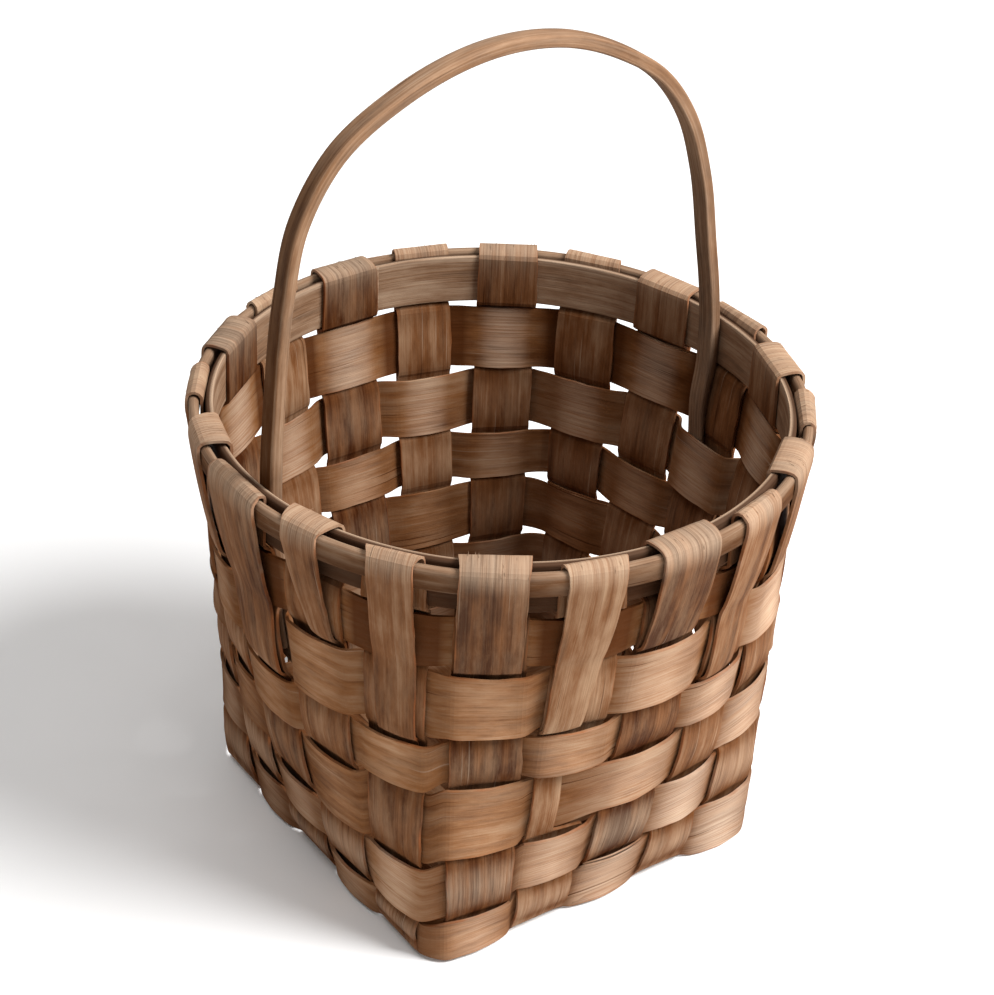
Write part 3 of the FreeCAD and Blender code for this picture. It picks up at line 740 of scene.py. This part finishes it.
def weaver_stations(row, first_stake):
    made = []
    for order in range(STAKE_COUNT + LAP_STAKES):
        stake = (first_stake + order) % STAKE_COUNT
        offset, sign = weaver_offset(stake, row)
        middle, stake_here = crossing(stake, row)
        rise_here = weaver_pillow_rise * (1.0 if sign > 0 else inside_pillow_share)
        layer, thickness = 0.0, splint_thickness
        if order < LAP_STAKES:
            layer, thickness = -lap_layer / 2, lap_thickness
        elif order >= STAKE_COUNT:
            layer, thickness = lap_layer / 2, lap_thickness
        for across_share, pillow_share in zip(ACROSS_SHARES, PILLOW_SHARES):
            out = offset + layer + sign * pillow_share * rise_here
            ends = []
            for level in weaver_bounds(row, stake):
                point, outward, across = wall_frame(stake, level)
                ends.append(point + across * (middle + across_share * stake_here / 2) + outward * out)
            rise = ends[1] - ends[0]
            width = np.linalg.norm(rise)
            # Darker at the edges of each crossing, where the weaver turns round a stake: painted shade.
            grime = 1.0 - pillow_share
            wear = ROW_WEAR_AND_LIGHT_SHARES[row - 1] * (0.3 + 0.7 * pillow_share)
            # Outside: painted light towards the key lamp, painted shade away from it and painted shadow
            # of the hoop on the first row.
            if sign > 0:
                toward_lamp = point.dot(direction(lamp_side_angle)) / np.linalg.norm(point[:2])
                wear += fade_wear * max(toward_lamp, 0.0) ** 2 * (row > 1)
                grime += shade_grime * max(-toward_lamp, 0.0) + first_row_grime * (row == 1)
            else:
                # Upper rows painted lighter and lower rows darker: painted light and painted shade.
                wear += inside_wear * pillow_share * max(INSIDE_LIT_ROWS - row, 0)
                grime += inside_grime * row
            cup = sign * rise_here * (0.3 + 0.8 * pillow_share)
            look = {"wear": wear, "grime": grime, "cup": cup, "thickness": thickness}
            made.append(station((ends[0] + ends[1]) / 2, -rise / width, width, **look))
    return np.array(made)


weaver_wood = split_wood(
    "weaver_wood", dark=srgb(72, 40, 20), middle=srgb(138, 93, 58), light=srgb(173, 140, 110),
    bleached_and_lit=srgb(197, 174, 153), edge_colour=srgb(146, 82, 44), streak_share=0.4,
)
WEAVER_SURFACE = {
    "grain_height": 0.0006, "grain_length": 0.04, "grain_width": 0.006,
    "fray_count": 0.0, "fray_length": 0.004, "fray_width": 0.00018,
}
FIRST_WEAVER_SEED = 40
FIRST_WEAVER_GRAIN = 20.0

for row in range(1, ROW_COUNT + 1):
    node = f"weaver_row_{row}"
    stations = weaver_stations(row, (LAP_SHIFT * row) % STAKE_COUNT)
    ribbon = make_ribbon(node + "_ribbon", stations, WEAVER_TONES[row - 1], FIRST_WEAVER_SEED + row)
    look = {"seed": FIRST_WEAVER_GRAIN + row, "finish": weaver_wood, **WEAVER_SURFACE}
    weaver = grow("visible_" + node, ribbon, splint_body, **look)
    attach(weaver, "root")
    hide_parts(node)

# Rim: a flat band on the inside and a heavier shaved hoop outside it. Both are bent from
# ash and closed on a slanting scarf, and the stakes that are folded over them hold them.

RING_STEPS = 480
band_scarf_angle = math.radians(85)
band_scarf_length = 0.01
hoop_scarf_angle = math.radians(79)
hoop_scarf_length = 0.036
ROUNDING_STEPS = 4
scarf_thin_share = 0.06
ring_wobble = 0.00015
radial_wobble_period = 0.06
level_wobble_period = 0.05


def rounded_section(width, thickness, corner_radii):
    """Outline of a bar, widest along its first axis, with its own radius at each corner."""
    corners = ((1, 1), (-1, 1), (-1, -1), (1, -1))
    outline = []
    for k, ((sign_x, sign_y), radius) in enumerate(zip(corners, corner_radii)):
        centre = np.array([sign_x * (width / 2 - radius), sign_y * (thickness / 2 - radius)])
        for step in range(ROUNDING_STEPS + 1):
            angle = math.radians(90) * (k + step / ROUNDING_STEPS)
            outline.append(centre + radius * np.array([math.cos(angle), math.sin(angle)]))
    return np.array(outline)


def fill_in(outline, spacing):
    """Extra points along the straight stretches of an outline."""
    filled = []
    for start, end in zip(outline, np.roll(outline, -1, axis=0)):
        count = max(int(np.linalg.norm(end - start) / spacing), 1)
        filled += [start + (end - start) * k / count for k in range(count)]
    return np.array(filled)


def sweep(name, outline, points, across, facing, wear, grime, seed, sizes=None):
    """Bar of one section along a path, with its grain along it and capped ends."""
    rng = np.random.default_rng(seed)
    lengths = np.concatenate([[0.0], np.cumsum(np.linalg.norm(np.diff(points, axis=0), axis=1))])
    around = np.concatenate([[0.0], np.cumsum(np.linalg.norm(np.diff(outline, axis=0), axis=1))])
    sizes = np.ones((len(points), 2)) if sizes is None else sizes
    wide = across[:, None, :] * (outline[None, :, 0] * sizes[:, :1])[:, :, None]
    deep = facing[:, None, :] * (outline[None, :, 1] * sizes[:, 1:])[:, :, None]
    places = points[:, None, :] + wide + deep
    rows, columns = len(points), len(outline)
    index = np.arange(rows * columns).reshape(rows, columns)
    beside = np.roll(index, -1, axis=1)
    quads = np.stack([index[:-1], index[1:], beside[1:], beside[:-1]], axis=-1)
    quads = quads.reshape(-1, 4).tolist()
    caps = [index[0].tolist(), index[-1][::-1].tolist()]
    mesh = bpy.data.meshes.new(name)
    mesh.from_pydata(places.reshape(-1, 3), [], quads + caps)
    grain_start = rng.uniform(0.0, GRAIN_START_RANGE)
    grain = np.stack([np.repeat(lengths, columns), np.tile(around, rows)], axis=-1) + grain_start
    corners = np.concatenate([np.array(quads).ravel(), np.array(caps).ravel()])
    uv_map = mesh.uv_layers.new(name="grain")
    uv_map.data.foreach_set("uv", grain[corners].astype(np.float32).ravel())
    keep_on_points(mesh, "wear", np.asarray(wear, dtype=float).ravel())
    keep_on_points(mesh, "rim_side", np.zeros(rows * columns))
    keep_on_points(mesh, "grime", np.asarray(grime, dtype=float).ravel())
    keep_on_points(mesh, "tone", np.full(rows * columns, rng.uniform(-0.5, 0.5)))
    mesh.shade_smooth()
    piece = bpy.data.objects.new(name, mesh)
    bpy.context.scene.collection.objects.link(piece)
    return piece


def ring(name, outline, radius, level, wear, grime, scarf_angle, scarf_length, seed):
    """Hoop whose ends are cut on a slant and lie over each other, a little uneven as a bent rod is."""
    rng = np.random.default_rng(seed)
    full_turn = 2 * math.pi + scarf_length / radius
    angles = np.linspace(0.0, full_turn, RING_STEPS + 1)
    lengths = angles * radius
    starting = np.clip(lengths / scarf_length, scarf_thin_share, 1.0)
    ending = np.clip((lengths[-1] - lengths) / scarf_length, scarf_thin_share, 1.0)
    depth = outline[:, 1].max() - outline[:, 1].min()
    slant = ((1.0 - ending) - (1.0 - starting)) * depth / 2
    whole_share = np.minimum(starting, ending)
    sway = slant + ring_wobble * wander(rng, lengths, radial_wobble_period) * whole_share
    lift = ring_wobble * wander(rng, lengths, level_wobble_period) * whole_share
    angles = angles + scarf_angle - scarf_length / radius / 2
    outward = np.stack([np.cos(angles), np.sin(angles), np.zeros_like(angles)], axis=-1)
    points = outward * (radius + sway)[:, None] + UP * (level + lift)[:, None]
    up = np.tile(UP, (len(angles), 1))
    sizes = np.stack([np.ones_like(angles), whole_share], axis=-1)
    wear, grime = (np.tile(around, (len(angles), 1)) for around in (wear, grime))
    return sweep(name, outline, points, up, outward, wear, grime, seed, sizes)


rim_wood = split_wood(
    "rim_wood", dark=srgb(54, 31, 17), middle=srgb(116, 82, 57), light=srgb(160, 133, 109),
    bleached_and_lit=srgb(186, 164, 142), edge_colour=srgb(124, 70, 38), streak_share=0.6,
)

BAND_SEED = 61
band_corners = (0.0013, 0.0013, 0.0006, 0.0006)
band_point_spacing = 0.0015
band_worn_depth = 0.004
# The band's outer face, below the hoop, is painted dark: painted shadow of the hoop.
band_outer_grime = 2.6
band_section = rounded_section(rim_height - band_bottom, band_thickness, band_corners)
band_outline = fill_in(band_section, band_point_spacing)
band_up, band_out = band_outline.T
band_wear = np.clip((band_up - band_up.max()) / band_worn_depth + 1.0, 0.25, 0.8)
band_grime = np.where(band_out > 0.0, band_outer_grime, 0.0)
band_level = (band_bottom + rim_height) / 2
band = ring("visible_inner_band", band_outline, wall_radius, band_level, band_wear, band_grime,
            band_scarf_angle, band_scarf_length, BAND_SEED)

HOOP_SEED = 62
hoop_corners = (0.0018, 0.0008, 0.0008, 0.0018)
hoop_point_spacing = 0.0008
hoop_worn_depth = 0.003
hoop_darkening_depth = 0.004
hoop_inner_radius = band_high[0] + splint_thickness + 2 * weave_clearance + rim_sag
hoop_thickness = hoop_high[0] - hoop_inner_radius
hoop_section = rounded_section(hoop_high[2] - hoop_low[2], hoop_thickness, hoop_corners)
hoop_outline = fill_in(hoop_section, hoop_point_spacing)
hoop_up = hoop_outline[:, 0]
hoop_wear = np.clip((hoop_up - hoop_up.max()) / hoop_worn_depth + 1.0, 0.0, 0.4)
# Darker all over, and darker still towards the lower edge.
hoop_grime = np.clip(1.4 - hoop_up / hoop_darkening_depth, 0.7, 2.0)
hoop_level = (hoop_low[2] + hoop_high[2]) / 2
hoop_radius = hoop_high[0] - hoop_thickness / 2
hoop = ring("visible_outer_hoop", hoop_outline, hoop_radius, hoop_level, hoop_wear, hoop_grime,
            hoop_scarf_angle, hoop_scarf_length, HOOP_SEED)

for piece, node in ((band, "inner_rim_band"), (hoop, "outer_rim_hoop")):
    piece.data.materials.append(rim_wood)
    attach(piece, "root")
    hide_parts(node)

# Handle: one shaved ash rod bent to an arch. Its legs run down inside the band, and
# their thinned tips are pushed behind the second row, which holds them.

handle_width = 0.0084
handle_thickness = 0.0054
handle_rise = 0.156
handle_turn = math.radians(3.6)
handle_spacing = 0.003
handle_tip_share = 0.3
handle_corners = (0.0013, 0.0013, 0.001, 0.001)
handle_point_spacing = 0.001
uneven_share = 0.05
uneven_width_period = 0.05
uneven_thickness_period = 0.04
lamp_side_face_start = -0.003
UNEVEN_SEED = 71
HANDLE_SEED = 72
ARCH_SHARES = (
    (-1.0, 0.0), (-0.985, 0.24), (-0.95, 0.5), (-0.89, 0.69), (-0.75, 0.836), (-0.49, 0.94),
    (-0.12, 0.994), (0.18, 0.967), (0.45, 0.883), (0.65, 0.78), (0.79, 0.643), (0.88, 0.467),
    (0.94, 0.25), (0.98, 0.09), (0.995, 0.0),
)


def handle_leg_stops(stake):
    """Level, outer face and thickness of a leg, from its tucked tip to the rim."""
    tilt = handle_width / 2 * math.tan(handle_turn)

    def wall(level):
        point, outward, across = wall_frame(stake, level)
        return point.dot(outward) - tilt - weave_clearance - half_strip

    low, high = row_bounds(2, stake)
    tip = low + (high - low) * handle_tip_share
    first_low, first_high = row_bounds(1, stake)
    first_row = (first_low + first_high) / 2
    band_radius = wall_radius - band_thickness / 2 - weave_clearance
    behind_band = math.sqrt(band_radius ** 2 - (handle_width / 2) ** 2)
    between = (handle_tip_thickness + handle_thickness) / 2
    return [
        (tip, wall(tip) + half_step, handle_tip_thickness),
        (high, wall(high), handle_tip_thickness),
        (first_low, wall(first_low) - half_step, handle_tip_thickness),
        (first_row, wall(first_row) - half_step - pillow_rise, between),
        (band_bottom, behind_band, handle_thickness),
        ((band_bottom + rim_height) / 2, behind_band, handle_thickness),
    ]


def sprung_slopes(before, after, span_before, span_after):
    """Slopes of an evenly sprung rod."""
    return (before * span_after + after * span_before) / (span_after + span_before)


along_handle = direction(handle_turn)
left_stops, right_stops = (handle_leg_stops(stake) for stake in HANDLE_STAKES)
leg_radius = right_stops[-1][1] - handle_thickness / 2
handle_stations = []
for level, face, thick in left_stops:
    handle_stations.append([*(along_handle * -(face - thick / 2) + UP * level), thick])
for reach_share, rise_share in ARCH_SHARES:
    point = along_handle * reach_share * leg_radius + UP * (rim_height + rise_share * handle_rise)
    handle_stations.append([*point, handle_thickness])
for level, face, thick in right_stops[::-1]:
    handle_stations.append([*(along_handle * (face - thick / 2) + UP * level), thick])
handle_stops = even_curve(np.array(handle_stations), handle_spacing, sprung_slopes)[1]
handle_points = handle_stops[:, :3]
handle_across = np.tile(np.cross(UP, along_handle), (len(handle_points), 1))
handle_facing = np.cross(np.gradient(handle_points, axis=0), handle_across)
handle_facing /= np.linalg.norm(handle_facing, axis=1)[:, None]
handle_section = rounded_section(handle_width, handle_thickness, handle_corners)
handle_outline = fill_in(handle_section, handle_point_spacing)
handle_rng = np.random.default_rng(UNEVEN_SEED)
handle_lengths = np.arange(len(handle_points)) * handle_spacing
uneven_width = 1.0 + uneven_share * wander(handle_rng, handle_lengths, uneven_width_period)
uneven_thickness = 1.0 + uneven_share * wander(handle_rng, handle_lengths, uneven_thickness_period)
thickness_shares = handle_stops[:, 3] / handle_thickness * uneven_thickness
handle_sizes = np.stack([uneven_width, thickness_shares], axis=-1)

# The hand has bleached the top of the crown. The inner face and the side that faces the key lamp are
# painted lighter, painted light, and the outer face of the legs is painted darker, painted shade.
crown_share = np.clip((handle_points[:, 2:] - rim_height) / handle_rise, 0.0, 1.0) ** 2
lamp_side_face = (handle_outline[:, 0] < lamp_side_face_start).astype(float)[None, :]
outer_face = (handle_outline[:, 1] > 0.0).astype(float)[None, :]
handle_wear = 0.45 - 0.1 * crown_share - outer_face * (0.45 - 0.55 * crown_share)
handle_wear = np.maximum(handle_wear, 0.3 * lamp_side_face)
handle_grime = (0.1 + 2.1 * outer_face * (1.0 - crown_share)) * (1.0 - 0.7 * lamp_side_face)
handle = sweep("visible_handle", handle_outline, handle_points, handle_across, handle_facing,
               handle_wear, handle_grime, HANDLE_SEED, handle_sizes)
handle_wood = split_wood(
    "handle_wood", dark=srgb(58, 33, 17), middle=srgb(112, 75, 46), light=srgb(154, 122, 95),
    bleached_and_lit=srgb(180, 159, 138), edge_colour=srgb(136, 82, 46), streak_share=0.6,
)
handle.data.materials.append(handle_wood)
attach(handle, "root")
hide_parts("handle")

# Studio: a wide pale floor, one large soft lamp to the right of the camera, a weak
# lamp above on the left and an even pale surround, brighter to the camera than as a light.

floor_half_size = 4.0
floor_level = -0.0004
FLOOR_CORNERS = ((-1, -1), (1, -1), (1, 1), (-1, 1))
floor_mesh = bpy.data.meshes.new("floor")
floor_points = [(x * floor_half_size, y * floor_half_size, floor_level) for x, y in FLOOR_CORNERS]
floor_mesh.from_pydata(floor_points, [], [(0, 1, 2, 3)])
floor = bpy.data.objects.new("floor", floor_mesh)
bpy.context.scene.collection.objects.link(floor)
floor_paint = bpy.data.materials.new("floor_paint")
floor_paint.use_nodes = True
floor_shader = floor_paint.node_tree.nodes["Principled BSDF"]
floor_shader.inputs["Base Color"].default_value = (0.9, 0.9, 0.9, 1.0)
floor_shader.inputs["Roughness"].default_value = 0.9
floor_mesh.materials.append(floor_paint)

world = bpy.data.worlds.new("surround")
world.use_nodes = True
surround = world.node_tree.nodes["Background"]
surround.inputs["Color"].default_value = (1.0, 0.97, 0.945, 1.0)
surround_light = 0.35
surround_seen = 1.0
seen = add_node(world.node_tree, "ShaderNodeLightPath").outputs["Is Camera Ray"]
extra = math_node(world.node_tree, "MULTIPLY", seen, surround_seen - surround_light)
strength = math_node(world.node_tree, "ADD", extra, surround_light)
world.node_tree.links.new(strength, surround.inputs["Strength"])
bpy.context.scene.world = world


def soft_lamp(name, place, target, width, power):
    lamp = bpy.data.lights.new(name, "AREA")
    lamp.shape = "DISK"
    lamp.size = width
    lamp.energy = power
    holder = bpy.data.objects.new(name, lamp)
    holder.location = place
    holder.rotation_euler = (Vector(target) - Vector(place)).to_track_quat("-Z", "Y").to_euler()
    bpy.context.scene.collection.objects.link(holder)


lamp_target = (0.0, 0.0, 0.15)
soft_lamp("key_lamp", place=(0.85, -1.05, 1.6), target=lamp_target, width=1.2, power=78.0)
soft_lamp("top_lamp", place=(-0.5, 0.1, 2.0), target=lamp_target, width=1.4, power=13.0)

# Camera: where the photograph was taken from, with its long lens and slight tilt. Its place
# was fitted to the rim, the corners of the base, the tops of the stakes and the handle.

camera_azimuth = math.radians(-36.232)
camera_elevation = math.radians(33.553)
camera_roll = math.radians(2.822)
camera_distance = 1.19313
camera_target = Vector((0.0, 0.0, 0.15123))
focal_pixels = 2916.17
image_height_pixels = 995

back = Vector((math.sin(camera_azimuth) * math.cos(camera_elevation),
               -math.cos(camera_azimuth) * math.cos(camera_elevation), math.sin(camera_elevation)))
level_right = Vector((math.cos(camera_azimuth), math.sin(camera_azimuth), 0.0))
level_up = back.cross(level_right)
right = math.cos(camera_roll) * level_right + math.sin(camera_roll) * level_up
upward = -math.sin(camera_roll) * level_right + math.cos(camera_roll) * level_up
lens = bpy.data.cameras.new("camera")
lens.sensor_width = 36.0
lens.lens = focal_pixels * lens.sensor_width / image_height_pixels
camera = bpy.data.objects.new("camera", lens)
turn = Matrix((right, upward, back)).transposed().to_4x4()
camera.matrix_world = Matrix.Translation(camera_target + back * camera_distance) @ turn
bpy.context.scene.collection.objects.link(camera)
bpy.context.scene.camera = camera

bpy.context.scene.view_settings.view_transform = "Standard"
